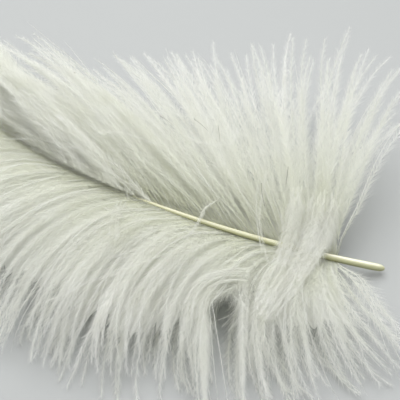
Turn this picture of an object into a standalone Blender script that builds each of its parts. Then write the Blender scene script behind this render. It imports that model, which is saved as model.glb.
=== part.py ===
"""A white marabou feather, lying at rest with its quill towards +X and its tip towards -X.

The feather grew as one piece: a tapering quill, and the down that springs from both its sides. Here the down is
modelled as locks, each the form of a dozen or so barbs that cling together, and all are fused to the quill.
"""

import math

import bmesh
import bpy
from mathutils import Vector

MM = 0.001
UP = Vector((0, 0, 1))

# The quill runs from its bare end to a hair-fine tip. It bends in plan, and arches over its own down.
QUILL_END = Vector((50.84, 2.53, 1.3)) * MM
QUILL_LENGTH = 104 * MM
QUILL_BARE = 9 * MM
QUILL_RADIUS = 0.75 * MM
QUILL_TIP_RADIUS = 0.16 * MM
QUILL_HEADINGS = (-30, 36)
QUILL_PITCHES = (19, -18)
QUILL_STATIONS = 32
QUILL_SIDES = 8

# Each side's down, from the quill's base to its tip:
# share of the way, lock length, angle to the quill at the root and at the lock's end
FAR_SIDE = (
    (0.00, 42 * MM, 104, 138),
    (0.06, 53 * MM, 84, 100),
    (0.12, 57 * MM, 58, 74),
    (0.19, 57 * MM, 42, 40),
    (0.28, 56 * MM, 30, 22),
    (0.45, 52 * MM, 23, 11),
    (0.70, 43 * MM, 18, 8),
    (1.00, 26 * MM, 10, 8),
)
NEAR_SIDE = (
    (0.00, 30 * MM, 106, 160),
    (0.05, 35 * MM, 58, 128),
    (0.12, 39 * MM, 34, 110),
    (0.35, 43 * MM, 42, 104),
    (0.60, 43 * MM, 40, 96),
    (0.85, 38 * MM, 28, 60),
    (1.00, 25 * MM, 12, 12),
)
FAR_PITCHES = (22, -16)
NEAR_PITCHES = (8, -40)
LOCKS_PER_SIDE = 36
LOCK_CROWDING = 1.3
LAYER_PITCHES = (8, -4, -20)
LOCK_WOBBLE = 9
LENGTH_WOBBLE = 0.13
TUFT_ANGLES = (-15, -5, 5, 15)
TUFT_LENGTH = 21 * MM

# A lock is flat at its root, fullest towards its middle and drawn out to a point.
LOCK_STEPS = 24
LOCK_RINGS = 6
LOCK_SIDES = 6
LOCK_ROOT_WIDTH = 2.8 * MM
LOCK_FULL_WIDTH = 6.6 * MM
LOCK_FULL_DEPTH = 2.6 * MM
LOCK_TIP_SHARE = 0.12
FLOOR_GAP = 0.55 * MM
FLOOR_SOFTNESS = 1.6 * MM
FLOOR_BLOCK = 400 * MM
WELD = 0.01 * MM
SCATTER_START = 21


def scatter(number, channel):
    """A fixed, evenly spread value from -1 to 1 for each number and channel."""
    turned = math.sin(12.9898 * (number + SCATTER_START) + 78.233 * channel) * 43758.5453
    return 2 * (turned - math.floor(turned)) - 1


def between(pair, share):
    return pair[0] + (pair[1] - pair[0]) * share


def aim(heading, pitch):
    """The unit vector at these angles in degrees: heading 0 points along -X, and 90 along +Y."""
    turn, lift = math.radians(heading), math.radians(pitch)
    return Vector((-math.cos(turn) * math.cos(lift), math.sin(turn) * math.cos(lift), math.sin(lift)))


def trace_quill():
    """(place, heading, pitch) at each station along the quill."""
    place, stations = QUILL_END.copy(), []
    step = QUILL_LENGTH / QUILL_STATIONS
    for number in range(QUILL_STATIONS + 1):
        share = number / QUILL_STATIONS
        heading, pitch = between(QUILL_HEADINGS, share), between(QUILL_PITCHES, share)
        stations.append((place.copy(), heading, pitch))
        place += aim(heading, pitch) * step
    return stations


QUILL_LINE = trace_quill()


def quill_at(distance):
    """(place, heading, pitch) on the quill at this distance from its bare end."""
    position = min(distance / QUILL_LENGTH, 1) * QUILL_STATIONS
    low = min(int(position), QUILL_STATIONS - 1)
    (place, heading, pitch), (place_on, heading_on, pitch_on) = QUILL_LINE[low], QUILL_LINE[low + 1]
    share = position - low
    return (
        place.lerp(place_on, share),
        between((heading, heading_on), share),
        between((pitch, pitch_on), share),
    )


def quill_radius(distance):
    share = distance / QUILL_LENGTH
    return between((QUILL_RADIUS, QUILL_TIP_RADIUS), share**0.8)


def side_profile(table, share):
    """A side's lock length, root angle and end angle at this share of the way to the tip."""
    for (low, *start), (high, *end) in zip(table, table[1:]):
        if share <= high:
            part = (share - low) / (high - low)
            return [between(pair, part) for pair in zip(start, end)]
    return list(table[-1][1:])


def lift_off_floor(height):
    """A height eased so that it levels out just above the floor."""
    over = height - FLOOR_GAP
    return FLOOR_GAP + (over + math.hypot(over, FLOOR_SOFTNESS)) / 2


def lock_line(root, heading, angles, pitches, length):
    """The places along a lock that leaves its root at one angle and pitch and curves to another."""
    place, line = root.copy(), [root.copy()]
    for number in range(LOCK_STEPS):
        share = (number + 0.5) / LOCK_STEPS
        place = place + aim(heading + between(angles, share), between(pitches, share)) * (length / LOCK_STEPS)
        line.append(Vector((place.x, place.y, lift_off_floor(place.z))))
    return line


def side_lock(side, number):
    """(line, root depth) of one lock: side is 1 for the far side, +Y, and -1 for the near one."""
    table, pitches = (FAR_SIDE, FAR_PITCHES) if side > 0 else (NEAR_SIDE, NEAR_PITCHES)
    share = ((number + 0.5) / LOCKS_PER_SIDE) ** LOCK_CROWDING
    seed = number + (0 if side > 0 else LOCKS_PER_SIDE)
    length, root_angle, end_angle = side_profile(table, share)
    length *= 1 + LENGTH_WOBBLE * scatter(seed, 1)
    root_angle += LOCK_WOBBLE * 0.5 * scatter(seed, 2)
    end_angle += LOCK_WOBBLE * 1.5 * scatter(seed, 3)
    layer = LAYER_PITCHES[number % len(LAYER_PITCHES)]
    distance = QUILL_BARE + (QUILL_LENGTH - QUILL_BARE) * share
    root, heading, pitch = quill_at(distance)
    lifts = (pitches[0] + layer + pitch / 3, pitches[1] + layer / 2 + LOCK_WOBBLE * scatter(seed, 4))
    line = lock_line(root, heading, (side * root_angle, side * end_angle), lifts, length)
    return line, quill_radius(distance)


def tuft_lock(number):
    """(line, root depth) of one lock of the tuft that carries the feather on past the quill's tip."""
    angle = TUFT_ANGLES[number]
    distance = QUILL_LENGTH * 0.985
    root, heading, pitch = quill_at(distance)
    length = TUFT_LENGTH * (1 + 0.1 * scatter(number, 5))
    line = lock_line(root, heading, (angle, angle * 1.6), (pitch + 8 * scatter(number, 6), -4), length)
    return line, quill_radius(distance)


def lock_section(share, root_depth):
    """Half width and half depth of a lock at this share of its length."""
    swell = math.sin(math.pi * share**0.75)
    thin_out = 1 - (1 - LOCK_TIP_SHARE) * share**2.5
    width = (LOCK_ROOT_WIDTH + (LOCK_FULL_WIDTH - LOCK_ROOT_WIDTH) * swell) * thin_out
    depth = between((root_depth, LOCK_FULL_DEPTH), swell)
    depth = max(depth * thin_out, LOCK_TIP_SHARE * LOCK_FULL_DEPTH)
    return width / 2, depth / 2


def add_tube(bm, rings, end_point):
    """A closed tube through rings of corners, flat across its first ring and drawn to a point at its end."""
    made = [[bm.verts.new(corner) for corner in ring] for ring in rings]
    count = len(made[0])
    for ring, following in zip(made, made[1:]):
        for corner in range(count):
            beside = (corner + 1) % count
            bm.faces.new((ring[corner], ring[beside], following[beside], following[corner]))
    bm.faces.new(made[0][::-1])
    tip = bm.verts.new(end_point)
    for corner in range(count):
        bm.faces.new((made[-1][corner], made[-1][(corner + 1) % count], tip))


def ring_of_corners(centre, direction, half_width, half_depth, sides):
    across = direction.cross(UP).normalized()
    over = across.cross(direction).normalized()
    corners = []
    for number in range(sides):
        turn = 2 * math.pi * number / sides
        corners.append(centre + across * half_width * math.cos(turn) + over * half_depth * math.sin(turn))
    return corners


def add_lock(bm, line, root_depth):
    rings, spacing = [], LOCK_STEPS // LOCK_RINGS
    for number in range(LOCK_RINGS):
        at = number * spacing
        direction = (line[at + 1] - line[max(at - 1, 0)]).normalized()
        half_width, half_depth = lock_section(at / LOCK_STEPS, root_depth)
        rings.append(ring_of_corners(line[at], direction, half_width, half_depth, LOCK_SIDES))
    add_tube(bm, rings, line[-1])


def build_quill():
    """The bare quill and its shaft, one tube that tapers from a rounded end to a fine tip."""
    bm = bmesh.new()
    rings = []
    for number, (place, heading, pitch) in enumerate(QUILL_LINE):
        radius = quill_radius(QUILL_LENGTH * number / QUILL_STATIONS)
        if number == 0:
            radius *= 0.45
        rings.append(ring_of_corners(place, aim(heading, pitch), radius, radius, QUILL_SIDES))
    beyond = QUILL_LINE[-1][0] + aim(*QUILL_LINE[-1][1:]) * MM
    add_tube(bm, rings, beyond)
    return mesh_object("feather", bm)


def build_locks():
    """Every lock of down, as closed shapes that overlap at their roots."""
    bm = bmesh.new()
    for side in (1, -1):
        for number in range(LOCKS_PER_SIDE):
            add_lock(bm, *side_lock(side, number))
    for number in range(len(TUFT_ANGLES)):
        add_lock(bm, *tuft_lock(number))
    locks = mesh_object("locks_to_fuse", bm)
    hide_helper(locks)
    return locks


def build_floor_block():
    """What the down is pressed flat against where it rests."""
    bpy.ops.mesh.primitive_cube_add(size=FLOOR_BLOCK, location=(0, 0, -FLOOR_BLOCK / 2))
    block = bpy.context.active_object
    block.name = "floor_block"
    hide_helper(block)
    return block


def mesh_object(name, bm):
    bmesh.ops.recalc_face_normals(bm, faces=bm.faces[:])
    mesh = bpy.data.meshes.new(name)
    bm.to_mesh(mesh)
    bm.free()
    made = bpy.data.objects.new(name, mesh)
    bpy.context.scene.collection.objects.link(made)
    return made


def hide_helper(made):
    made.hide_render = True
    made.display_type = "WIRE"


def add_boolean(target, operation, other, overlaps_itself=False):
    modifier = target.modifiers.new(operation.title(), "BOOLEAN")
    modifier.operation = operation
    modifier.object = other
    modifier.solver = "EXACT"
    modifier.use_self = overlaps_itself


def shells(bm):
    """The mesh's shells, each as a list of faces that are joined by their edges."""
    waiting, found = set(bm.faces), []
    while waiting:
        reached = [waiting.pop()]
        for face in reached:
            beside = {other for edge in face.edges for other in edge.link_faces} & waiting
            waiting -= beside
            reached.extend(beside)
        found.append(reached)
    return found


def settle_modifiers(target):
    """Replace the object's mesh by its modified form, and fill the small pockets sealed between the locks."""
    depsgraph = bpy.context.evaluated_depsgraph_get()
    solid = bpy.data.meshes.new_from_object(target.evaluated_get(depsgraph))
    target.modifiers.clear()
    target.data = solid
    bm = bmesh.new()
    bm.from_mesh(solid)
    pockets = sorted(shells(bm), key=len)[:-1]
    bmesh.ops.delete(bm, geom=[face for pocket in pockets for face in pocket], context="FACES")
    bmesh.ops.remove_doubles(bm, verts=bm.verts[:], dist=WELD)
    bmesh.ops.dissolve_verts(bm, verts=[vert for vert in bm.verts if len(vert.link_edges) == 2])
    bmesh.ops.triangulate(bm, faces=bm.faces[:])
    bm.to_mesh(solid)
    bm.free()


def down_material():
    material = bpy.data.materials.new("white_down")
    material.use_nodes = True
    shader = material.node_tree.nodes["Principled BSDF"]
    shader.inputs["Base Color"].default_value = (0.83, 0.84, 0.78, 1)
    shader.inputs["Roughness"].default_value = 0.75
    shader.inputs["Metallic"].default_value = 0
    return material


for old in list(bpy.data.objects):
    bpy.data.objects.remove(old)

feather = build_quill()
add_boolean(feather, "UNION", build_locks(), overlaps_itself=True)
add_boolean(feather, "DIFFERENCE", build_floor_block())
settle_modifiers(feather)
feather.data.materials.clear()
feather.data.materials.append(down_material())
feather.data.shade_smooth()
feather.data.set_sharp_from_angle(angle=math.radians(60))
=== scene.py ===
"""A white marabou feather on a pale floor, under soft studio light.

The feather lies with the bare end of its quill towards +X and its tip towards -X. Every length is in metres.
"""

import math

import bmesh
import bpy
import numpy as np
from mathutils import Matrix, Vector


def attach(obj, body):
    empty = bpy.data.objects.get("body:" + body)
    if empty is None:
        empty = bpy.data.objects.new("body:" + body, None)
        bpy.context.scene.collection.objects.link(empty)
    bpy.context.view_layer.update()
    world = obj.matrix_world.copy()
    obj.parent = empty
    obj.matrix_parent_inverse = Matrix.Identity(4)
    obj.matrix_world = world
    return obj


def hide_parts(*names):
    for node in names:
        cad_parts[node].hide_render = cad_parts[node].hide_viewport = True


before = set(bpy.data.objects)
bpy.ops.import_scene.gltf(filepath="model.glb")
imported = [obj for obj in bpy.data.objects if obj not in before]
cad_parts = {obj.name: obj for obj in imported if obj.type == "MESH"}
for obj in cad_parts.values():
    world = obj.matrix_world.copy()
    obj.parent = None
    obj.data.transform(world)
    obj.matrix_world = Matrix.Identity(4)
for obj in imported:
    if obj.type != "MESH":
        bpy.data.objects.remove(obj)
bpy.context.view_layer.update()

MM = 0.001


# Quill
# The feather's one hard piece, of pale horn. Its bare end was rooted in the skin and keeps a small pit, and
# the shaft that carries the down grows on from it, with a ridged back, flat sides and a groove below.
QUILL_END = np.array((50.84, 2.53, 1.3)) * MM
QUILL_LENGTH = 104 * MM
QUILL_BARE = 9 * MM
QUILL_RADIUS = 0.75 * MM
QUILL_TIP_RADIUS = 0.16 * MM
QUILL_TAPER = 0.8
QUILL_POINT = 1 * MM
QUILL_HEADINGS = (-30, 36)
QUILL_PITCHES = (19, -18)
QUILL_STATIONS = 32
QUILL_SIDES = 16
ROUND_END = ((0.0, 0.42), (0.25, 0.66), (0.7, 0.86), (1.5, 0.96), (2.7, 1.0))
PIT_DEPTH = 0.5 * MM
GROOVE_SHARE = 0.4
RIDGE_SHARE = 0.12
SHARP_ANGLE = 50
# Horn colour by how far the surface faces up: painted highlight on top, olive-yellow painted shade below.
HORN_AND_SHADE_COLOURS = (
    (0.1, (0.36, 0.36, 0.20)),
    (0.78, (0.50, 0.50, 0.31)),
    (0.93, (0.66, 0.65, 0.48)),
    (1.0, (0.85, 0.84, 0.71)),
)
HORN_BLOTCHES = 0.1
STREAK_STRETCH = (90, 700, 700)
STREAK_DEPTH = 0.05 * MM
HORN_GLOW = (0.6 * MM, 0.5 * MM, 0.3 * MM)


def between(pair, share):
    """What lies at this share of the way from the first of a pair to the second."""
    return pair[0] + (pair[1] - pair[0]) * share


def aim(heading, pitch):
    """The unit vector at these angles in degrees: heading 0 points along -X, and 90 along +Y."""
    turn, lift = math.radians(heading), math.radians(pitch)
    return np.array((-math.cos(turn) * math.cos(lift), math.sin(turn) * math.cos(lift), math.sin(lift)))


def trace_quill():
    """(place, heading, pitch) at each station along the quill."""
    place, stations = QUILL_END.copy(), []
    for number in range(QUILL_STATIONS + 1):
        share = number / QUILL_STATIONS
        heading, pitch = between(QUILL_HEADINGS, share), between(QUILL_PITCHES, share)
        stations.append((place.copy(), heading, pitch))
        place += aim(heading, pitch) * (QUILL_LENGTH / QUILL_STATIONS)
    return stations


QUILL_LINE = trace_quill()


def quill_at(distance):
    """(place, heading, pitch) on the quill at this distance from its bare end."""
    position = min(max(distance / QUILL_LENGTH, 0), 1) * QUILL_STATIONS
    low = min(int(position), QUILL_STATIONS - 1)
    share = position - low
    here, onward = QUILL_LINE[low], QUILL_LINE[low + 1]
    return tuple(between(pair, share) for pair in zip(here, onward))


def quill_radius(distance):
    """The quill's radius at this distance from its bare end."""
    return between((QUILL_RADIUS, QUILL_TIP_RADIUS), (distance / QUILL_LENGTH) ** QUILL_TAPER)


def quill_stops():
    """(distance, radius) of each ring of the quill: close together round its bare end, then evenly spread."""
    stops = [(distance * MM, quill_radius(distance * MM) * share) for distance, share in ROUND_END]
    step = QUILL_LENGTH / QUILL_STATIONS
    for number in range(1, QUILL_STATIONS + 1):
        stops.append((number * step, quill_radius(number * step)))
    return stops


def turn_ring(place, degrees):
    """Turn the selected ring level about its centre. The angle's sign suits a session with no window."""
    bpy.ops.transform.rotate(value=-math.radians(degrees), orient_axis="Z", center_override=tuple(place))


def press_groove(made, radius):
    """Press the groove into the ring that has just been made, and raise its back to a ridge."""
    ring = [vert for vert in made.verts if vert.select]
    for chosen, rise in ((min, GROOVE_SHARE), (max, RIDGE_SHARE)):
        bpy.ops.mesh.select_all(action="DESELECT")
        chosen(ring, key=lambda vert: vert.co.z).select = True
        bpy.ops.transform.translate(value=(0, 0, rise * radius))
    for vert in ring:
        vert.select = True
    made.select_flush(True)


def model_quill():
    """The quill, extruded ring by ring from its bare end, with its point and then its pit closed."""
    bpy.ops.object.select_all(action="DESELECT")
    stops = quill_stops()
    place, heading, pitch = quill_at(0)
    facing = (0, math.radians(-90 + pitch), math.radians(-heading))
    bpy.ops.mesh.primitive_circle_add(
        vertices=QUILL_SIDES, radius=stops[0][1], fill_type="NOTHING", location=place, rotation=facing
    )
    made = bpy.context.active_object
    made.name = "quill"
    bpy.ops.object.transform_apply(location=True, rotation=True, scale=True)
    bpy.ops.object.mode_set(mode="EDIT")
    bpy.ops.mesh.select_all(action="SELECT")
    mesh = bmesh.from_edit_mesh(made.data)
    radius, grooved = stops[0][1], False
    for distance, next_radius in stops[1:]:
        onward, next_heading, next_pitch = quill_at(distance)
        bpy.ops.mesh.extrude_region_move(TRANSFORM_OT_translate={"value": tuple(onward - place)})
        turn_ring(onward, heading - next_heading)
        bpy.ops.transform.resize(value=(next_radius / radius,) * 3, center_override=tuple(onward))
        place, heading, pitch, radius = onward, next_heading, next_pitch, next_radius
        if distance > QUILL_BARE and not grooved:
            press_groove(mesh, radius)
            grooved = True
    point = aim(heading, pitch) * QUILL_POINT
    bpy.ops.mesh.extrude_region_move(TRANSFORM_OT_translate={"value": tuple(point)})
    bpy.ops.mesh.merge(type="CENTER")
    bpy.ops.mesh.select_all(action="DESELECT")
    mesh.verts.ensure_lookup_table()
    for number in range(QUILL_SIDES):
        mesh.verts[number].select = True
    mesh.select_flush(True)
    pit = aim(QUILL_HEADINGS[0], QUILL_PITCHES[0]) * PIT_DEPTH
    bpy.ops.mesh.extrude_region_move(TRANSFORM_OT_translate={"value": tuple(pit)})
    bpy.ops.mesh.merge(type="CENTER")
    bpy.ops.mesh.select_all(action="SELECT")
    bpy.ops.mesh.normals_make_consistent(inside=False)
    bpy.ops.object.mode_set(mode="OBJECT")
    made.data.shade_smooth()
    made.data.set_sharp_from_angle(angle=math.radians(SHARP_ANGLE))
    return made


def new_material(name):
    """(material, its nodes, its links, its Principled BSDF)"""
    made = bpy.data.materials.new(name)
    made.use_nodes = True
    tree = made.node_tree
    return made, tree.nodes, tree.links, tree.nodes["Principled BSDF"]


def colour_ramp(nodes, stops):
    """A colour ramp node with a stop at each (place, colour)."""
    ramp = nodes.new("ShaderNodeValToRGB").color_ramp
    for element, (place, colour) in zip(ramp.elements, (stops[0], stops[-1])):
        element.position, element.color = place, (*colour, 1)
    for place, colour in stops[1:-1]:
        ramp.elements.new(place).color = (*colour, 1)
    return nodes[-1]


def horn_material():
    """Streaked ivory horn: painted highlight on its back, olive-yellow painted shade where it turns down."""
    material, nodes, links, shader = new_material("quill_horn")
    place = nodes.new("ShaderNodeTexCoord")
    stretch = nodes.new("ShaderNodeMapping")
    stretch.inputs["Scale"].default_value = STREAK_STRETCH
    links.new(place.outputs["Object"], stretch.inputs["Vector"])
    streaks = nodes.new("ShaderNodeTexNoise")
    streaks.inputs["Scale"].default_value = 2.2
    streaks.inputs["Detail"].default_value = 4
    links.new(stretch.outputs["Vector"], streaks.inputs["Vector"])
    # Painted shade and highlight: the colour follows how far the surface faces up, darker where it turns
    # down.
    surface = nodes.new("ShaderNodeNewGeometry")
    split = nodes.new("ShaderNodeSeparateXYZ")
    links.new(surface.outputs["Normal"], split.inputs["Vector"])
    streaks_and_shade = nodes.new("ShaderNodeMath")
    streaks_and_shade.operation = "MULTIPLY_ADD"
    streaks_and_shade.inputs[1].default_value = HORN_BLOTCHES
    links.new(streaks.outputs["Fac"], streaks_and_shade.inputs[0])
    links.new(split.outputs["Z"], streaks_and_shade.inputs[2])
    ramp = colour_ramp(nodes, HORN_AND_SHADE_COLOURS)
    links.new(streaks_and_shade.outputs["Value"], ramp.inputs["Fac"])
    links.new(ramp.outputs["Color"], shader.inputs["Base Color"])
    bump = nodes.new("ShaderNodeBump")
    bump.inputs["Strength"].default_value = 0.25
    bump.inputs["Distance"].default_value = STREAK_DEPTH
    links.new(streaks.outputs["Fac"], bump.inputs["Height"])
    links.new(bump.outputs["Normal"], shader.inputs["Normal"])
    shader.inputs["Roughness"].default_value = 0.5
    shader.inputs["Subsurface Weight"].default_value = 0.15
    shader.inputs["Subsurface Radius"].default_value = HORN_GLOW
    return material


quill = model_quill()
quill.data.materials.append(horn_material())
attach(quill, "root")
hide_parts("feather")


# Camera
# The view of the photograph: from the near side and somewhat towards the quill's end, looking half down,
# through a long lens. The shaft's visible stretch then lies where the photograph has it.
VIEW_AZIMUTH = 27
VIEW_ELEVATION = 45
VIEW_DISTANCE = 208 * MM
VIEW_LENS = 100
SENSOR_WIDTH = 36
PHOTO_SIZE = 400
VIEW_TARGET = Vector((15.95, -4.67, 10.0)) * MM
VIEW_CLIP = (0.01, 10)


def point_camera():
    """The camera, aimed at its target from the view's azimuth, elevation and distance."""
    turn, lift = math.radians(VIEW_AZIMUTH), math.radians(VIEW_ELEVATION)
    back = Vector((math.sin(turn) * math.cos(lift), -math.cos(turn) * math.cos(lift), math.sin(lift)))
    bpy.ops.object.camera_add(location=VIEW_TARGET + back * VIEW_DISTANCE)
    camera = bpy.context.active_object
    camera.name = "camera"
    camera.rotation_mode = "QUATERNION"
    camera.rotation_quaternion = (-back).to_track_quat("-Z", "Y")
    camera.data.lens = VIEW_LENS
    camera.data.clip_start, camera.data.clip_end = VIEW_CLIP
    bpy.context.scene.camera = camera
    return camera


camera = point_camera()


def under_pixel(pixel, height):
    """The place at this height that the photograph shows at this pixel."""
    across, down = (pixel[0] - PHOTO_SIZE / 2) / PHOTO_SIZE, (pixel[1] - PHOTO_SIZE / 2) / PHOTO_SIZE
    ray = camera.rotation_quaternion @ Vector((across * SENSOR_WIDTH, -down * SENSOR_WIDTH, -VIEW_LENS))
    return np.array(camera.location + ray * ((height - camera.location.z) / ray.z))


def pixels_of(places):
    """Where the photograph shows these places, in pixels across and down."""
    turn = np.array(camera.rotation_quaternion.to_matrix())
    seen = (places - np.array(camera.location)) @ turn
    reach = VIEW_LENS / SENSOR_WIDTH * PHOTO_SIZE / -seen[..., 2]
    return PHOTO_SIZE / 2 + seen[..., 0] * reach, PHOTO_SIZE / 2 - seen[..., 1] * reach


# Locks of down
# Down grows from both sides of the shaft as soft barbs, and a dozen or so cling together in each lock. A lock
# leaves the shaft at an angle, arches up and over, and its lowest barbs lie along the floor.

# Each row: share of the way to the tip, lock length, angle to the quill at the root and at the end
FAR_SIDE = (
    (0.00, 42 * MM, 104, 138),
    (0.06, 53 * MM, 84, 100),
    (0.12, 57 * MM, 58, 74),
    (0.19, 57 * MM, 42, 40),
    (0.28, 56 * MM, 30, 22),
    (0.45, 52 * MM, 23, 11),
    (0.70, 43 * MM, 18, 8),
    (1.00, 26 * MM, 10, 8),
)
NEAR_SIDE = (
    (0.00, 30 * MM, 106, 160),
    (0.05, 35 * MM, 58, 128),
    (0.12, 39 * MM, 34, 110),
    (0.35, 43 * MM, 42, 104),
    (0.60, 43 * MM, 40, 96),
    (0.85, 38 * MM, 28, 60),
    (1.00, 25 * MM, 12, 12),
)
FAR_PITCHES = (22, -16)
NEAR_PITCHES = (8, -40)
LOCKS_PER_SIDE = 36
LOCK_CROWDING = 1.3
LAYER_PITCHES = (8, -4, -20)
LOCK_WOBBLE = 9
LENGTH_WOBBLE = 0.13
SCATTER_START = 21
TUFT_ANGLES = (-15, -5, 5, 15)
TUFT_LENGTH = 21 * MM
TUFT_LENGTH_WOBBLE = 0.1
TUFT_PITCH_WOBBLE = 8
TUFT_END_PITCH = -4
TUFT_SPLAY = 1.6
TUFT_ROOT = 0.985 * QUILL_LENGTH
TUFT_BARBS_FROM = 0.95 * QUILL_LENGTH
TUFT_SEED = 90
LOCK_STEPS = 24
LOCK_ROOT_WIDTH = 2.8 * MM
LOCK_FULL_WIDTH = 6.6 * MM
LOCK_FULL_DEPTH = 2.6 * MM
LOCK_TIP_SHARE = 0.12
FLOOR_GAP = 0.55 * MM
FLOOR_SOFTNESS = 1.6 * MM
UP = np.array((0.0, 0.0, 1.0))


def scatter(number, channel):
    """A fixed, evenly spread value from -1 to 1 for each number and channel."""
    turned = math.sin(12.9898 * (number + SCATTER_START) + 78.233 * channel) * 43758.5453
    return 2 * (turned - math.floor(turned)) - 1


def side_profile(table, share):
    """A side's lock length, root angle and end angle at this share of the way to the tip."""
    rows = np.array(table)
    return [np.interp(share, rows[:, 0], rows[:, column]) for column in (1, 2, 3)]


def lift_off_floor(height):
    """A height eased so that it levels out just above the floor."""
    over = height - FLOOR_GAP
    return FLOOR_GAP + (over + np.hypot(over, FLOOR_SOFTNESS)) / 2


def lock_line(root, heading, angles, pitches, length):
    """The places along a lock that leaves its root at one angle and pitch and curves to another."""
    place, line = root.copy(), [root.copy()]
    for number in range(LOCK_STEPS):
        share = (number + 0.5) / LOCK_STEPS
        place = place + aim(heading + between(angles, share), between(pitches, share)) * (length / LOCK_STEPS)
        line.append((place[0], place[1], lift_off_floor(place[2])))
    return np.array(line)


def side_distance(number):
    """How far along the quill this lock's root is."""
    share = (min(number + 0.5, LOCKS_PER_SIDE) / LOCKS_PER_SIDE) ** LOCK_CROWDING
    return QUILL_BARE + (QUILL_LENGTH - QUILL_BARE) * share


def side_line(side, number):
    """The places along one lock: side is 1 for the far side, +Y, and -1 for the near one."""
    table, pitches = (FAR_SIDE, FAR_PITCHES) if side > 0 else (NEAR_SIDE, NEAR_PITCHES)
    share = ((number + 0.5) / LOCKS_PER_SIDE) ** LOCK_CROWDING
    seed = number + (0 if side > 0 else LOCKS_PER_SIDE)
    length, root_angle, end_angle = side_profile(table, share)
    length *= 1 + LENGTH_WOBBLE * scatter(seed, 1)
    root_angle += LOCK_WOBBLE * 0.5 * scatter(seed, 2)
    end_angle += LOCK_WOBBLE * 1.5 * scatter(seed, 3)
    layer = LAYER_PITCHES[number % len(LAYER_PITCHES)]
    root, heading, pitch = quill_at(side_distance(number))
    lifts = (pitches[0] + layer + pitch / 3, pitches[1] + layer / 2 + LOCK_WOBBLE * scatter(seed, 4))
    return lock_line(root, heading, (side * root_angle, side * end_angle), lifts, length)


def side_lock(side, number):
    """A lock's line and the next one's in its layer, their roots on the quill, its side and its number."""
    onward = number + len(LAYER_PITCHES)
    lines = (side_line(side, number), side_line(side, onward))
    seed = number + (0 if side > 0 else LOCKS_PER_SIDE)
    return lines, (side_distance(number), side_distance(onward)), side, seed


def tuft_line(number):
    """The places along one lock of the tuft that carries the feather on past the quill's tip."""
    angle = TUFT_ANGLES[number]
    root, heading, pitch = quill_at(TUFT_ROOT)
    length = TUFT_LENGTH * (1 + TUFT_LENGTH_WOBBLE * scatter(number, 5))
    pitches = (pitch + TUFT_PITCH_WOBBLE * scatter(number, 6), TUFT_END_PITCH)
    return lock_line(root, heading, (angle, angle * TUFT_SPLAY), pitches, length)


def tuft_lock(number):
    """A tuft lock's line and the next one's, their roots on the quill, its side and its number."""
    lines = (tuft_line(number), tuft_line(min(number + 1, len(TUFT_ANGLES) - 1)))
    side = math.copysign(1, TUFT_ANGLES[number])
    return lines, (TUFT_BARBS_FROM, QUILL_LENGTH), side, TUFT_SEED + number


def lock_section(share):
    """Half widths and half depths of a lock at these shares of its length."""
    swell = np.sin(math.pi * share**0.75)
    thin_out = 1 - (1 - LOCK_TIP_SHARE) * share**2.5
    width = (LOCK_ROOT_WIDTH + (LOCK_FULL_WIDTH - LOCK_ROOT_WIDTH) * swell) * thin_out
    depth = np.maximum(LOCK_FULL_DEPTH * swell * thin_out, LOCK_TIP_SHARE * LOCK_FULL_DEPTH)
    return width / 2, depth / 2


# Barbs
# A barb is a soft thread, thickest at the quill, with barbules along both its sides: finer hairs, about
# three millimetres long, that are too soft to hook together. They make the down bushy and let light through.

# For each side: how many barbs a lock of each layer has, in the base, the middle and the tip of the feather
BARBS_PER_LOCK = {1: ((18, 11, 7), (17, 12, 9), (15, 13, 13)), -1: ((18, 11, 7), (18, 11, 7), (18, 11, 7))}
TUFT_BARBS = 12
BARB_STEPS = 14
BARB_RADII = (0.045 * MM, 0.012 * MM)
BARB_SIDES = 3
BARB_SHORTENING = 0.3
BARB_SWAY = 0.4 * MM
SWAY_RISE = 0.4
SWAY_WAVES = (1.1, 0.5)
BARB_SPREAD = 0.7
BARB_HEAPING = 0.85
BARB_CLEARANCE = 0.15 * MM
JOIN_SHARE = 0.25
ROOT_SHARE = 0.35
ROOT_ON_QUILL = ((0.7, -0.6), (0.85, 0.1))
ROOT_OVER_QUILL = ((-0.3, 1.2), (-0.9, 1.4))
SHAFT_SINKS = (28 * MM, 60 * MM)
BARE_ROOTS = (0.07, 0.03, 0.0)
BARB_WANDER = 2.6 * MM
WANDER_RISE = 0.3
STRAY_FACTOR = 3.5
STRAY_LIMIT = 0.82
CLUMP_SIZE = 5
CLUMP_SHIFT = 0.3
FAR_GATHER = 0.12
NEAR_GATHER = 0.4
BARBULES_PER_MM = 18
BARBULES_AT_LEAST = 8
BARBULE_START = 0.02
BARBULE_LENGTH = 3.2 * MM
BARBULE_VARIETY = (0.7, 1.2)
BARBULE_ROOT_SIZE = 0.2
BARBULE_FULL_SHARE = 0.3
BARBULE_SHORTENING = 0.65
BARBULE_WIDTH = 0.055 * MM
BARBULE_THINNING = 0.4
BARBULE_ANGLES = (40, 25)
BARBULE_ANGLE_WOBBLE = 8
BARBULE_ROLL = 45
BARBULE_TWIST = 0.7
BARBULE_CLEARANCE = 0.03 * MM
BARBULE_RUN = 0.012
STRIP_START = 0.01
STRIP_LENGTH = 0.96
STRIP_SPREAD = 0.42

# The parting in the near down, in the photograph's pixels: its top, its half width, how soon it opens below
# its top, and how soft its edges are. The last row is how much of the push each layer of locks gets.
PARTING_PIXEL = (224, 287)
PARTING_WIDTH = 17
PARTING_RISE = 16
PARTING_SOFTNESS = 4
PARTING_BY_LAYER = (1.0, 0.85, 0.4)

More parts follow.
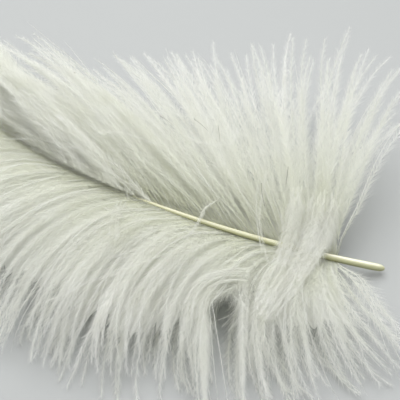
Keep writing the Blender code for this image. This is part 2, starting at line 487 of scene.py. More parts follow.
# From root to tip: yellow-green and darker by the quill, partly the down's own tint and partly painted shade.
DOWN_TINT_AND_SHADE = (
    (0.0, (0.95, 0.955, 0.85)),
    (0.14, (0.967, 0.972, 0.925)),
    (0.4, (0.975, 0.977, 0.955)),
    (1.0, (0.98, 0.98, 0.97)),
)
DOWN_TONES = ((0.0, (0.945, 0.95, 0.932)), (1.0, (1.0, 1.0, 1.0)))
DOWN_PATCHES = ((0.3, (0.975, 0.975, 0.96)), (0.7, (1.0, 1.0, 1.0)))
LIGHT_THROUGH = 0.72


def unit(vectors):
    """These vectors, each made one long."""
    return vectors / np.maximum(np.linalg.norm(vectors, axis=-1, keepdims=True), 1e-12)


def ease(share):
    """A share from 0 to 1 that starts and ends gently."""
    share = np.clip(share, 0, 1)
    return share * share * (3 - 2 * share)


def along_line(line, shares):
    """The places at these shares of a line's steps."""
    steps = np.linspace(0, 1, len(line))
    return np.stack([np.interp(shares, steps, line[:, axis]) for axis in range(3)], axis=1)


def frame_of(places):
    """Unit vectors along, across and over a line at each of its places."""
    tangents = unit(np.gradient(places, axis=-2))
    across = unit(np.cross(tangents, UP))
    return tangents, across, np.cross(across, tangents)


def join_quill(places, distance, side, shares):
    """These places, drawn at their start to the quill's side, or over it where the shaft sinks in."""
    root, heading, _ = quill_at(distance)
    sunk = ease((distance - SHAFT_SINKS[0]) / (SHAFT_SINKS[1] - SHAFT_SINKS[0]))
    out, up = (between(pair, sunk) for pair in zip(ROOT_ON_QUILL[side > 0], ROOT_OVER_QUILL[side > 0]))
    root = root + (aim(heading + 90 * side, 0) * out + UP * up) * quill_radius(min(distance, QUILL_LENGTH))
    return places + (root - places[0]) * (1 - ease(shares / ROOT_SHARE))[:, None]


def parted(places, share):
    """These places, pushed this much aside where the photograph shows a dark parting in the near down."""
    across, down = pixels_of(places)
    beside = across - PARTING_PIXEL[0]
    inside = ease((down - PARTING_PIXEL[1]) / PARTING_RISE)
    hand = 1 if np.sum(beside * inside) > 0 else -1
    short = np.logaddexp(0, (PARTING_WIDTH - hand * beside) / PARTING_SOFTNESS) * PARTING_SOFTNESS
    push = share * hand * inside * short
    pixel = (VIEW_DISTANCE / VIEW_LENS) * SENSOR_WIDTH / PHOTO_SIZE
    rightward = np.array(camera.rotation_quaternion @ Vector((1, 0, 0)))
    return places + rightward * (push * pixel)[:, None]


def barb_line(lock, number, count):
    """The places along one barb, somewhere from its own lock's line to the next one's, drawn to its clump."""
    lines, roots, side, seed = lock
    clump = number // CLUMP_SIZE
    centre = min((clump + 0.5 + CLUMP_SHIFT * scatter(seed * 7 + clump, 17)) * CLUMP_SIZE / count, 1)
    gather = FAR_GATHER if side > 0 else NEAR_GATHER
    layer, seed = seed % len(LAYER_PITCHES), seed * 31 + number
    shares = np.linspace(0, 1 - BARB_SHORTENING * abs(scatter(seed, 11)) ** 1.6, BARB_STEPS + 1)
    lean = (number + 0.5) / count
    leans = between((lean, centre), gather * shares)[:, None]
    middle = between([along_line(line, shares) for line in lines], leans)
    _, across, over = frame_of(middle)
    half_width, half_depth = lock_section(shares)
    wander = BARB_WANDER * (STRAY_FACTOR if scatter(seed, 20) > STRAY_LIMIT else 1)
    aside = scatter(seed, 12) * half_width * BARB_SPREAD + scatter(seed, 18) * wander * shares**2
    above = BARB_HEAPING * scatter(seed, 13) * half_depth
    above += WANDER_RISE * scatter(seed, 19) * wander * shares**2
    waves = shares * (SWAY_WAVES[0] + SWAY_WAVES[1] * scatter(seed, 14)) + scatter(seed, 15)
    sway = BARB_SWAY * shares * np.sin(2 * math.pi * waves)
    joined = ease(shares / JOIN_SHARE)
    places = join_quill(middle, between(roots, lean), side, shares)
    shift = across * ((aside + sway) * joined)[:, None]
    places += shift + over * ((above + sway * SWAY_RISE) * joined)[:, None]
    if side < 0:
        places = parted(places, PARTING_BY_LAYER[layer])
    places[:, 2] = np.maximum(places[:, 2], BARB_CLEARANCE)
    return places


def thread_mesh(lines, radii, sides):
    """(corners, triangles, share along, line number) of tubes along these lines, each drawn to a point."""
    count, steps = lines.shape[0], lines.shape[1] - 1
    _, across, over = frame_of(lines)
    shares = np.linspace(0, 1, steps + 1)
    turns = 2 * math.pi * np.arange(sides) / sides
    width = between(radii, shares)[:steps]
    ring = across[:, :steps, None] * np.cos(turns)[:, None] + over[:, :steps, None] * np.sin(turns)[:, None]
    rings = lines[:, :steps, None] + ring * width[:, None, None]
    corners = np.concatenate([rings.reshape(count, -1, 3), lines[:, -1:]], axis=1)
    faces = [(0, number + 1, number) for number in range(1, sides - 1)]
    for step in range(steps - 1):
        for number in range(sides):
            here, beside = step * sides + number, step * sides + (number + 1) % sides
            faces += [(here, beside, beside + sides), (here, beside + sides, here + sides)]
    last = (steps - 1) * sides
    faces += [(last + number, last + (number + 1) % sides, last + sides) for number in range(sides)]
    each = corners.shape[1]
    triangles = (np.array(faces)[None] + each * np.arange(count)[:, None, None]).reshape(-1, 3)
    along = np.tile(np.append(np.repeat(shares[:steps], sides), 1.0), count)
    return corners.reshape(-1, 3), triangles, along, np.repeat(np.arange(count), each)


def barbule_mesh(lines, random, size=1.0, bare=0.0, density=1.0):
    """(corners, triangles, share along, line number) of these barbs' barbules: hair-fine slips."""
    lengths = np.linalg.norm(np.diff(lines, axis=1), axis=2).sum(axis=1)
    counts = np.maximum((lengths / MM * BARBULES_PER_MM * density).astype(int), BARBULES_AT_LEAST)
    barb = np.repeat(np.arange(len(lines)), counts)
    first = np.repeat(np.cumsum(counts) - counts, counts)
    total = counts.sum()
    share = (np.arange(total) - first + random.random(total)) / counts[barb]
    share = bare + BARBULE_START + (1 - BARBULE_START - bare) * share
    steps = lines.shape[1] - 1
    low = np.minimum((share * steps).astype(int), steps - 1)
    part = (share * steps - low)[:, None]
    tangents, across, over = frame_of(lines)
    root = between((lines[barb, low], lines[barb, low + 1]), part)
    forward, aside, above = tangents[barb, low], across[barb, low], over[barb, low]
    hand = np.where(random.random(total) < 0.5, 0.0, math.pi)
    roll = hand + np.radians(random.normal(0, BARBULE_ROLL, total))
    outward = aside * np.cos(roll)[:, None] + above * np.sin(roll)[:, None]
    angle = np.radians(between(BARBULE_ANGLES, share) + random.normal(0, BARBULE_ANGLE_WOBBLE, total))
    growth = ease((share - bare) / BARBULE_FULL_SHARE)
    length = BARBULE_LENGTH * size * between((BARBULE_ROOT_SIZE, 1), growth)
    length *= 1 - BARBULE_SHORTENING * share**3
    length *= between(BARBULE_VARIETY, random.random(total))
    ahead = forward * np.cos(angle)[:, None] + outward * np.sin(angle)[:, None]
    face = unit(np.cross(ahead, above) + BARBULE_TWIST * random.normal(0, 1, (total, 3)))
    half_width = BARBULE_WIDTH / 2 * (1 - BARBULE_THINNING * share)
    broad = unit(np.cross(ahead, np.cross(face, ahead))) * half_width[:, None]
    corners = np.stack([root + broad, root - broad, root + ahead * length[:, None]], axis=1)
    corners[..., 2] = np.maximum(corners[..., 2], BARBULE_CLEARANCE)
    triangles = np.arange(3 * total).reshape(-1, 3)
    reach = share[:, None] + np.array((0, 0, BARBULE_RUN))
    return corners.reshape(-1, 3), triangles, reach.reshape(-1), np.repeat(barb, 3)


def merge_meshes(parts):
    """One set of corners, triangles, shares and line numbers from several."""
    start, faces = 0, []
    for corners, triangles, _, _ in parts:
        faces.append(triangles + start)
        start += len(corners)
    return np.concatenate([part[0] for part in parts]), np.concatenate(faces), *(
        np.concatenate([part[column] for part in parts]) for column in (2, 3)
    )


def lay_out(along, line, count, random):
    """A place in the piece's flat map for each corner: a strip for each barb, from its root to its tip."""
    row = (line + 0.5 + STRIP_SPREAD * (2 * random.random(len(line)) - 1)) / count
    return np.stack([STRIP_START + STRIP_LENGTH * along, row], axis=1)


def make_piece(name, parts, count, random, darkest=0.0):
    """An object made from joined arrays, with its flat map and with each corner's share and tone."""
    corners, triangles, along, line = merge_meshes(parts)
    mesh = bpy.data.meshes.new(name)
    mesh.vertices.add(len(corners))
    mesh.vertices.foreach_set("co", corners.astype(np.float32).ravel())
    mesh.loops.add(triangles.size)
    mesh.loops.foreach_set("vertex_index", triangles.astype(np.int32).ravel())
    mesh.polygons.add(len(triangles))
    mesh.polygons.foreach_set("loop_start", np.arange(0, triangles.size, 3, dtype=np.int32))
    mesh.update(calc_edges=True)
    mesh.shade_smooth()
    flat = lay_out(along, line, count, random)[triangles.ravel()]
    mesh.uv_layers.new(name="OFBake").uv.foreach_set("vector", flat.astype(np.float32).ravel())
    tones = between((darkest, 1), random.random(count))[line]
    for label, values in (("along", along), ("tone", tones)):
        mesh.attributes.new(label, "FLOAT", "POINT").data.foreach_set("value", values.astype(np.float32))
    made = bpy.data.objects.new(name, mesh)
    bpy.context.scene.collection.objects.link(made)
    return made


def multiplied(nodes, links, first, second):
    """The product of two colours."""
    product = nodes.new("ShaderNodeMix")
    product.data_type, product.blend_type = "RGBA", "MULTIPLY"
    product.inputs["Factor"].default_value = 1
    links.new(first, product.inputs["A"])
    links.new(second, product.inputs["B"])
    return product.outputs["Result"]


def down_material():
    """Translucent white down, yellow-green by the quill in tint and painted shade, and each barb of its own
    tone.
    """
    material, nodes, links, shader = new_material("white_down")
    ramps = []
    # The colour along each barb: tint and painted shade by the quill, then white; each barb also has its own
    # tone.
    for label, stops in (("along", DOWN_TINT_AND_SHADE), ("tone", DOWN_TONES)):
        value = nodes.new("ShaderNodeAttribute")
        value.attribute_name = label
        ramps.append(colour_ramp(nodes, stops))
        links.new(value.outputs["Fac"], ramps[-1].inputs["Fac"])
    place = nodes.new("ShaderNodeTexCoord")
    patches = nodes.new("ShaderNodeTexNoise")
    patches.inputs["Scale"].default_value = 220
    patches.inputs["Detail"].default_value = 2
    links.new(place.outputs["Object"], patches.inputs["Vector"])
    soil = colour_ramp(nodes, DOWN_PATCHES)
    links.new(patches.outputs["Fac"], soil.inputs["Fac"])
    toned = multiplied(nodes, links, ramps[0].outputs["Color"], ramps[1].outputs["Color"])
    colour = multiplied(nodes, links, toned, soil.outputs["Color"])
    through = nodes.new("ShaderNodeBsdfTranslucent")
    mix = nodes.new("ShaderNodeMixShader")
    mix.inputs["Fac"].default_value = LIGHT_THROUGH
    links.new(colour, shader.inputs["Base Color"])
    links.new(colour, through.inputs["Color"])
    links.new(shader.outputs["BSDF"], mix.inputs[1])
    links.new(through.outputs["BSDF"], mix.inputs[2])
    links.new(mix.outputs["Shader"], nodes["Material Output"].inputs["Surface"])
    shader.inputs["Roughness"].default_value = 0.55
    shader.inputs["Specular IOR Level"].default_value = 0.3
    return material


DOWN = down_material()


def dress(made):
    """Give a piece of down its finish, and its place in the part."""
    made.data.materials.append(DOWN)
    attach(made, "root")
    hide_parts("feather")


def make_down(name, locks, counts, bare, seed):
    """One stretch of down: every barb of these locks with its barbules, which start past its bare root."""
    random = np.random.default_rng(seed)
    lines = np.array([
        barb_line(lock, number, count) for lock, count in zip(locks, counts) for number in range(count)
    ])
    parts = [thread_mesh(lines, BARB_RADII, BARB_SIDES), barbule_mesh(lines, random, bare=bare)]
    dress(make_piece(name, parts, len(lines), random))
    return lines


long_barbs = []
third = LOCKS_PER_SIDE // 3
for side, side_name in ((1, "far"), (-1, "near")):
    for part, part_name in enumerate(("base", "middle", "tip")):
        numbers = range(part * third, (part + 1) * third)
        counts = [BARBS_PER_LOCK[side][part][number % len(LAYER_PITCHES)] for number in numbers]
        locks = [side_lock(side, number) for number in numbers]
        name, bare = f"{side_name}_down_{part_name}", BARE_ROOTS[part]
        long_barbs.append(make_down(name, locks, counts, bare, 10 * part + side + 2))
tuft = [tuft_lock(number) for number in range(len(TUFT_ANGLES))]
make_down("tip_tuft", tuft, [TUFT_BARBS] * len(tuft), 0.0, 40)


# Short down
# Beneath the long barbs lies a thin layer of short, matted down that closes the gaps between them. It grows
# from the shaft as they do, and is modelled as a closed, finely ridged layer along the lines of the locks.
FAR_MAT_LAYER = 2
NEAR_MAT_LAYER = 1
MAT_COLUMNS_PER_LOCK = 10
NEAR_MAT_SEED = 500
MAT_STEPS = 14
FAR_MAT_REACH = (0.18, 0.54)
NEAR_MAT_REACH = (0.48, 0.66)
MAT_REACH_LOCKS = 13
MAT_RAGGED = 0.04
MAT_SHORT_OF_PARTING = 0.9
MAT_DROP = 0.7 * MM
MAT_DROP_SHARE = 0.3
MAT_CLEARANCE = 0.35 * MM
MAT_THICKNESS = 0.25 * MM
MAT_RIDGES = 0.14 * MM
# Where the short down starts in the root's tint and painted shade.
MAT_TINT_AND_SHADE_START = 0.12


def mat_column(side, number, layer):
    """The places along one column of the layer, which runs just below the locks of one layer."""
    layers = len(LAYER_PITCHES)
    first = max(int((number - layer) // layers), 0) * layers + layer
    lean = np.clip((number - first) / layers, 0, 1)
    seed = round(number * MAT_COLUMNS_PER_LOCK) + (0 if side > 0 else NEAR_MAT_SEED)
    line = between((side_line(side, first), side_line(side, first + layers)), lean)
    reach = between(FAR_MAT_REACH if side > 0 else NEAR_MAT_REACH, ease(number / MAT_REACH_LOCKS))
    reach += MAT_RAGGED * scatter(seed, 21)
    across, down = pixels_of(line)
    beside = abs(across[down > PARTING_PIXEL[1]] - PARTING_PIXEL[0])
    if side < 0 and np.any(beside < PARTING_WIDTH):
        reach = min(reach, MAT_SHORT_OF_PARTING * np.mean(down < PARTING_PIXEL[1]))
    shares = np.linspace(0, reach, MAT_STEPS + 1)
    places = join_quill(along_line(line, shares), side_distance(number), side, shares)
    places[:, 2] -= (MAT_DROP + MAT_RIDGES * scatter(seed, 22)) * ease(shares / MAT_DROP_SHARE)
    places[:, 2] = np.maximum(places[:, 2], MAT_CLEARANCE)
    return places


def mat_mesh(columns):
    """(corners, triangles, share along, column number) of a closed thin layer through these columns."""
    count, steps = columns.shape[0], columns.shape[1]
    below = columns - UP * MAT_THICKNESS
    corners = np.concatenate([columns.reshape(-1, 3), below.reshape(-1, 3)])
    index = np.arange(count * steps).reshape(count, steps)
    quads = (index[:-1, :-1], index[1:, :-1], index[1:, 1:], index[:-1, 1:])
    a, b, c, d = (corner.ravel() for corner in quads)
    top = np.concatenate([np.stack([a, b, c], 1), np.stack([a, c, d], 1)])
    rim = np.concatenate([index[0, :], index[1:, -1], index[-1, -2::-1], index[-2:0:-1, 0]])
    onward = np.roll(rim, -1)
    lower = count * steps
    walls = np.concatenate([
        np.stack([rim, onward, onward + lower], 1), np.stack([rim, onward + lower, rim + lower], 1)
    ])
    along = np.tile(np.linspace(MAT_TINT_AND_SHADE_START, 1, steps), 2 * count)
    column = np.tile(np.repeat(np.arange(count), steps), 2)
    return corners, np.concatenate([top, top[:, ::-1] + lower, walls]), along, column


def make_mat(name, side, layer, seed):
    """The short down of one side, under the locks of one layer."""
    numbers = np.arange(0, LOCKS_PER_SIDE, 1 / MAT_COLUMNS_PER_LOCK)
    columns = np.array([mat_column(side, number, layer) for number in numbers])
    made = make_piece(name, [mat_mesh(columns)], len(columns), np.random.default_rng(seed))
    bpy.ops.object.select_all(action="DESELECT")
    made.select_set(True)
    bpy.context.view_layer.objects.active = made
    bpy.ops.object.mode_set(mode="EDIT")
    bpy.ops.mesh.select_all(action="SELECT")
    bpy.ops.mesh.normals_make_consistent(inside=False)
    bpy.ops.object.mode_set(mode="OBJECT")
    dress(made)


make_mat("far_short_down", 1, FAR_MAT_LAYER, 51)
make_mat("near_short_down", -1, NEAR_MAT_LAYER, 52)


# Stray barbs
# A few single barbs have left their places: they cross the shaft, stand in a bright tuft, hang into the
# parting or lie over the far side. They root in the down, and each path is the photograph's, in pixels.
ACROSS_SHAFT = (
    ((266, 170), (264, 185), (259, 213), (261, 236), (268, 262)),
    ((259, 176), (256, 200), (257, 228), (262, 250)),
    ((281, 205), (281, 223), (286, 239), (277, 272)),
    ((214, 203), (204, 207), (198, 221), (187, 239)),
    ((218, 200), (206, 206), (201, 219), (192, 233)),
    ((128, 189), (127, 191), (128, 199)),
)
BRIGHT_TUFT = (
    ((122, 200), (115, 218), (116, 239)),
    ((126, 202), (118, 217), (118, 236)),
    ((118, 201), (111, 216), (109, 234)),
)
LONG_STRAY = ((179, 249), (138, 264), (110, 274), (77, 287), (46, 302))
DANGLING = (
    ((246, 281), (244, 297), (237, 311), (223, 326)),
    ((248, 284), (247, 300), (241, 315), (229, 330)),
    ((247, 280), (246, 294), (241, 305), (231, 315), (219, 320)),
    ((244, 280), (243, 292), (240, 302), (238, 314), (231, 324)),
)
FAR_STRAYS = (
    ((153, 111), (179, 115), (194, 121), (207, 131)),
    ((184, 136), (201, 143), (232, 147), (237, 129)),
    ((2, 139), (38, 139), (64, 145), (89, 152)),
    ((92, 134), (115, 131), (135, 136), (156, 144)),
    ((118, 88), (128, 104), (141, 117), (160, 128)),
)
STRAY_RADII = (0.07 * MM, 0.02 * MM)
STRAY_STEPS = 14
STRAY_LIFT = 0.6 * MM
STRAY_CLEARANCE = 0.2 * MM
# Where stray barbs start in the root's tint and painted shade.
STRAY_TINT_AND_SHADE_START = 0.25
STRAY_DARKEST = 0.3
CORNER_CUTS = 3
LIE_REACH = 4
PLACES_PER_BARB = 60
PLACES_ON_QUILL = 400


def down_places():
    """Many places along every long barb and along the quill's back."""
    places = [along_line(line, np.linspace(0, 1, PLACES_PER_BARB)) for lines in long_barbs for line in lines]
    back = np.array([place + UP * quill_radius(0) for place, _, _ in QUILL_LINE])
    return np.concatenate([*places, along_line(back, np.linspace(0, 1, PLACES_ON_QUILL))])


PLACES = down_places()
PLACE_PIXELS = np.stack(pixels_of(PLACES), axis=1)
PLACE_DEPTHS = np.linalg.norm(PLACES - np.array(camera.location), axis=1)


def height_at(pixel):
    """The height of the frontmost barb that the photograph shows at this pixel."""
    off = np.linalg.norm(PLACE_PIXELS - pixel, axis=1)
    found = np.flatnonzero(off < max(LIE_REACH, off.min() + 1))
    return PLACES[found[np.argmin(PLACE_DEPTHS[found])], 2]


def rounded(line):
    """A line with its corners cut until it runs smoothly, in equal steps."""
    for _ in range(CORNER_CUTS):
        cut = [line[:1]]
        for low, high in zip(line, line[1:]):
            cut.append(np.array([between((low, high), 0.25), between((low, high), 0.75)]))
        line = np.concatenate([*cut, line[-1:]])
    return along_line(line, np.linspace(0, 1, STRAY_STEPS + 1))


def stray_line(path, seed):
    """A stray barb along this path of pixels, lying on the down and bridging its dips."""
    heights = np.array([height_at(pixel) for pixel in path]) + STRAY_LIFT * (1.5 + scatter(seed, 33))
    for _ in range(2):
        eased = np.convolve(np.pad(heights, 1, mode="edge"), (0.25, 0.5, 0.25), mode="valid")
        heights = (eased + np.maximum(heights, eased)) / 2
    line = rounded(np.array([under_pixel(pixel, height) for pixel, height in zip(path, heights)]))
    line[:, 2] = np.maximum(line[:, 2], STRAY_CLEARANCE)
    return line


def make_strays(name, lines, radii, size, density, seed):
    """A piece of single barbs, with the size and density of their barbules beside those of the long barbs.

    They show none of the yellow-green tint and painted shade that a barb has at its root.
    """
    random = np.random.default_rng(seed)
    lines = np.array(lines)
    parts = [
        (corners, faces, STRAY_TINT_AND_SHADE_START + (1 - STRAY_TINT_AND_SHADE_START) * along, line)
        for corners, faces, along, line in (
            thread_mesh(lines, radii, BARB_SIDES),
            barbule_mesh(lines, random, size=size, density=density),
        )
    ]
    dress(make_piece(name, parts, len(lines), random, STRAY_DARKEST))


strays = [*ACROSS_SHAFT, *BRIGHT_TUFT, LONG_STRAY, *DANGLING, *FAR_STRAYS]
stray_lines = [stray_line(path, number) for number, path in enumerate(strays)]
make_strays("stray_barbs", stray_lines, STRAY_RADII, size=0.45, density=0.8, seed=61)


# Flopped barbs
# The far side's first barbs, near the quill's bare end, have flopped forward over the quill as a thin veil.
# They lie beside each other between two outer paths, given in the photograph's pixels.
VEIL = (
    ((290, 178), (287, 204), (283, 234), (275, 262), (260, 292), (242, 318)),
    ((346, 192), (341, 220), (329, 246), (309, 272), (288, 298), (270, 326)),
)
VEIL_BARBS = 46
VEIL_ENDS = (0.16, 0.45)
FRAY = 0.35
PATH_SPOTS = 7
SHORTEST_STRETCH = 0.3


def barb_between(paths, seed, ends, rooted=False):
    """A stray barb somewhere between two outer paths of pixels, or rooted on the second and fanning out.

    The ends are the shares of the way that it may leave out at most at its start and at its tip.
    """
    first = ends[0] * abs(scatter(seed, 32)) ** 0.6
    last = max(1 - ends[1] * abs(scatter(seed, 34)), first + SHORTEST_STRETCH)
    shares = np.linspace(first, last, PATH_SPOTS)
    lean = 0.5 + 0.5 * scatter(seed, 31) + FRAY * scatter(seed, 35) * shares
    if rooted:
        lean = between((1.0, lean), np.linspace(0, 1, PATH_SPOTS) ** 0.6)
    spots = []
    for axis in (0, 1):
        ways = [np.interp(shares, np.linspace(0, 1, len(path)), np.array(path)[:, axis]) for path in paths]
        spots.append(between(ways, lean))
    return stray_line(list(zip(*spots)), seed)


veil = [barb_between(VEIL, number, VEIL_ENDS) for number in range(VEIL_BARBS)]
make_strays("flopped_barbs", veil, STRAY_RADII, size=0.8, density=1.0, seed=62)


# Drifting barbs
# Above the shaft many of the far side's barbs have drifted out of their locks towards the feather's tip. They
# leave the shaft together, along the second path, and fan out towards the first.
DRIFT = (
    ((176, 176), (136, 143), (100, 120), (60, 103), (25, 94), (0, 90)),
    ((160, 205), (128, 193), (98, 180), (66, 164), (36, 147), (2, 128)),
)
DRIFT_BARBS = 64
DRIFT_ENDS = (0.85, 0.5)
DRIFT_SEED = 200

drift = [barb_between(DRIFT, DRIFT_SEED + number, DRIFT_ENDS, rooted=True) for number in range(DRIFT_BARBS)]
make_strays("drifting_barbs", drift, BARB_RADII, size=0.9, density=0.8, seed=59)


# Curled barbs
# At the parting in the near down a wisp of barbs curls round the dark hollow and hangs down along its left.
# It roots in the down below the quill and lies between two outer paths.
CURLS = (
    ((252, 268), (230, 268), (208, 273), (190, 286), (182, 306), (178, 330)),
    ((250, 284), (236, 281), (221, 283), (208, 293), (203, 310), (206, 332)),
)
CURL_BARBS = 24
CURL_ENDS = (0.1, 0.25)
CURL_SEED = 100

curls = [barb_between(CURLS, CURL_SEED + number, CURL_ENDS) for number in range(CURL_BARBS)]
make_strays("curled_barbs", curls, STRAY_RADII, size=0.45, density=0.4, seed=60)


# Far short barbs
# Single soft barbs of the far side's short down. They root on the shaft with it, curl up out of it to either
# side and end beneath the long barbs.
FAR_SHORT = 180
SHORT_CROWDING = 0.7
SHORT_BEND = 4 * MM
SHORT_LIFT = 0.5 * MM


def short_barb(seed):
    """The places along a short barb, which follows one of the layer's columns and bends away from it."""
    number = (0.5 + 0.5 * scatter(seed, 61)) ** SHORT_CROWDING * (LOCKS_PER_SIDE - 1)
    column = mat_column(1, number, FAR_MAT_LAYER)
    shares = np.linspace(0, 1, STRAY_STEPS + 1)
    places = along_line(column, shares * (0.75 + 0.25 * scatter(seed, 62)))
    _, across, _ = frame_of(places)
    places = places + across * (SHORT_BEND * scatter(seed, 63) * shares**1.5)[:, None]
    places += UP * (SHORT_LIFT * (1.3 + scatter(seed, 64)) * ease(2 * shares))[:, None]
    return places


short_barbs = [short_barb(number) for number in range(FAR_SHORT)]
make_strays("far_short_barbs", short_barbs, STRAY_RADII, size=0.8, density=0.6, seed=63)


# Loose barbs
# Long barbs of the top layer that have come loose from their locks and lie over the others, on both sides of
# the shaft. They are stiffer and barer than the rest, which makes single threads show.
FAR_LOOSE = 60
NEAR_LOOSE = 130
LOOSE_PER_LOCK = 7
LOOSE_RADII = (0.095 * MM, 0.03 * MM)
LOOSE_BEND = 5 * MM
LOOSE_LIFT = 1.0 * MM


def loose_barb(side, seed):
    """The places along a loose barb, which starts as one of its lock's and bends away from it."""
    layers = len(LAYER_PITCHES)
    number = layers * int((0.5 + 0.5 * scatter(seed, 51)) * LOCKS_PER_SIDE / layers)
    places = barb_line(side_lock(side, number), seed % LOOSE_PER_LOCK, LOOSE_PER_LOCK)
    shares = np.linspace(0, 1, len(places))
    _, across, _ = frame_of(places)
    places = places + across * (LOOSE_BEND * scatter(seed, 52) * shares**2)[:, None]
    places += UP * (LOOSE_LIFT * (1 + scatter(seed, 53)) / 2 * ease(3 * shares))[:, None]
    return places


for side, name, count in ((1, "far_loose_barbs", FAR_LOOSE), (-1, "near_loose_barbs", NEAR_LOOSE)):
    loose = [loose_barb(side, number) for number in range(count)]
    make_strays(name, loose, LOOSE_RADII, size=0.4, density=0.3, seed=65 + side)


# Shade threads
# Here and there on the feather lies a thin dark thread with no barbules: painted shade for a thin gap
# between barbs. Each path is where the photograph shows it, in pixels.
GAP_SHADE_PATHS = (
    ((218, 127), (219, 135), (220, 144)),
    ((288, 169), (287, 177), (286, 186)),
    ((261, 185), (262, 197), (265, 210)),
    ((160, 118), (167, 122), (174, 128)),
    ((194, 121), (201, 126), (208, 133)),
)
HAIR_RADII = (0.055 * MM, 0.03 * MM)
HAIR_SIDES = 4
HAIR_LIFT = 0.5 * MM
HAIR_SEED = 200
# Painted shade: the threads' dark colour stands for the shade in thin gaps between barbs.
GAP_SHADE_COLOURS = ((0.3, (0.20, 0.19, 0.16)), (0.7, (0.42, 0.41, 0.36)))


def mottled_material(name, scale, colours, roughness):
    """A dull finish that is lighter and darker in patches of this scale."""
    material, nodes, links, shader = new_material(name)
    place = nodes.new("ShaderNodeTexCoord")
    noise = nodes.new("ShaderNodeTexNoise")
    noise.inputs["Scale"].default_value = scale
    links.new(place.outputs["Object"], noise.inputs["Vector"])
    ramp = colour_ramp(nodes, colours)
    links.new(noise.outputs["Fac"], ramp.inputs["Fac"])
    links.new(ramp.outputs["Color"], shader.inputs["Base Color"])
    shader.inputs["Roughness"].default_value = roughness
    return material


hairs = np.array([stray_line(path, HAIR_SEED + number) for number, path in enumerate(GAP_SHADE_PATHS)])
hair_mesh = thread_mesh(hairs + UP * HAIR_LIFT, HAIR_RADII, HAIR_SIDES)
gap_shade_threads = make_piece("gap_shade_threads", [hair_mesh], len(hairs), np.random.default_rng(71))
# The threads are painted dark as the shade in gaps between barbs.
gap_shade_threads.data.materials.append(mottled_material("painted_gap_shade", 900, GAP_SHADE_COLOURS, roughness=0.6))
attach(gap_shade_threads, "root")
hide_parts("feather")


# Specks
# Tiny crumbs of dust and seed husk that the down has picked up, mostly towards the far edge. Each clings to
# the barb nearest to where the photograph shows it, in pixels.
SPECK_PIXELS = ((75, 73), (71, 76), (58, 90), (52, 96), (46, 93), (38, 101), (33, 97), (239, 191), (241, 194))
SPECK_RADIUS = 0.17 * MM
SPECK_VARIETY = 0.4
SPECK_FORM = (1.5, 0.8, 0.6)
HUSK_COLOURS = ((0.3, (0.10, 0.08, 0.05)), (0.7, (0.26, 0.22, 0.16)))


def drop_specks():
    """One piece made of all the specks."""
    bpy.ops.object.select_all(action="DESELECT")
    dropped = []
    for number, pixel in enumerate(SPECK_PIXELS):
        radius = SPECK_RADIUS * (1 + SPECK_VARIETY * scatter(number, 41))
        nearest = np.argmin(np.linalg.norm(PLACE_PIXELS - pixel, axis=1))
        bpy.ops.mesh.primitive_ico_sphere_add(
            subdivisions=1, radius=radius, location=PLACES[nearest] + UP * radius / 2
        )
        bpy.context.active_object.scale = SPECK_FORM
        dropped.append(bpy.context.active_object)
    for speck in dropped:
        speck.select_set(True)
    bpy.ops.object.join()
    joined = bpy.context.active_object
    joined.name = "specks"
    bpy.ops.object.transform_apply(location=True, rotation=True, scale=True)
    return joined


specks = drop_specks()
specks.data.materials.append(mottled_material("husk", 2500, HUSK_COLOURS, roughness=0.8))
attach(specks, "root")
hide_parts("feather")


# Floor
# The feather lies on a plain, pale grey board with a matt finish, which is wide enough to have no edge in
# any view.
FLOOR_SIZE = 60.0
FLOOR_DROP = 0.02 * MM
FLOOR_COLOUR = (0.36, 0.37, 0.37)


def lay_floor():
    """The board, just below the lowest barbs, as part of the stage."""
    bpy.ops.mesh.primitive_plane_add(size=FLOOR_SIZE, location=(0, 0, -FLOOR_DROP))
    floor = bpy.context.active_object
    floor.name = "floor"
    bpy.ops.object.transform_apply(location=True, rotation=True, scale=True)
    material, _, _, shader = new_material("pale_floor")
    shader.inputs["Base Color"].default_value = (*FLOOR_COLOUR, 1)
    shader.inputs["Roughness"].default_value = 0.8
    floor.data.materials.append(material)


lay_floor()


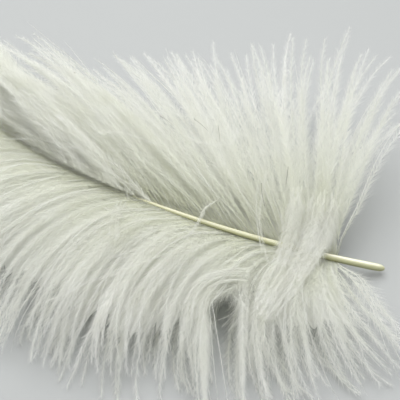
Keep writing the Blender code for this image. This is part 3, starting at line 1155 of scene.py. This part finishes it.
# Light
# Soft studio light: a broad lamp panel hangs above and behind the feather, and the room around is pale,
# brightest overhead and darker towards the front.
PANEL_PLACE = (-0.04, 0.045, 0.26)
PANEL_SIZE = 0.35
PANEL_POWER = 0.84
PANEL_COLOUR = (1.0, 1.0, 0.99)
ROOM_COLOURS = ((0.15, (0.26, 0.26, 0.25)), (0.8, (1.06, 1.07, 1.07)))
ROOM_STRENGTH = 1.02
ROOM_BRIGHTNESS = 0.3
ROOM_GAIN_BEHIND = 0.15
ROOM_GAIN_ABOVE = 0.5


def hang_panel():
    """The lamp panel, facing the feather."""
    bpy.ops.object.light_add(type="AREA", location=PANEL_PLACE)
    panel = bpy.context.active_object
    panel.name = "back_panel"
    panel.data.size = PANEL_SIZE
    panel.data.energy = PANEL_POWER
    panel.data.color = PANEL_COLOUR
    panel.rotation_mode = "QUATERNION"
    panel.rotation_quaternion = (-Vector(PANEL_PLACE)).to_track_quat("-Z", "Y")


def paint_room():
    """The pale room: its colour goes by how far a direction points up and to the feather's far side."""
    room = bpy.data.worlds.new("room")
    room.use_nodes = True
    nodes, links = room.node_tree.nodes, room.node_tree.links
    way = nodes.new("ShaderNodeTexCoord")
    split = nodes.new("ShaderNodeSeparateXYZ")
    links.new(way.outputs["Generated"], split.inputs["Vector"])
    behind = nodes.new("ShaderNodeMath")
    behind.operation = "MULTIPLY_ADD"
    behind.inputs[1].default_value = ROOM_GAIN_BEHIND
    behind.inputs[2].default_value = ROOM_BRIGHTNESS
    links.new(split.outputs["Y"], behind.inputs[0])
    above = nodes.new("ShaderNodeMath")
    above.operation = "MULTIPLY_ADD"
    above.inputs[1].default_value = ROOM_GAIN_ABOVE
    links.new(split.outputs["Z"], above.inputs[0])
    links.new(behind.outputs["Value"], above.inputs[2])
    ramp = colour_ramp(nodes, ROOM_COLOURS)
    links.new(above.outputs["Value"], ramp.inputs["Fac"])
    links.new(ramp.outputs["Color"], nodes["Background"].inputs["Color"])
    nodes["Background"].inputs["Strength"].default_value = ROOM_STRENGTH
    bpy.context.scene.world = room


hang_panel()
paint_room()
bpy.context.scene.view_settings.view_transform = "Standard"
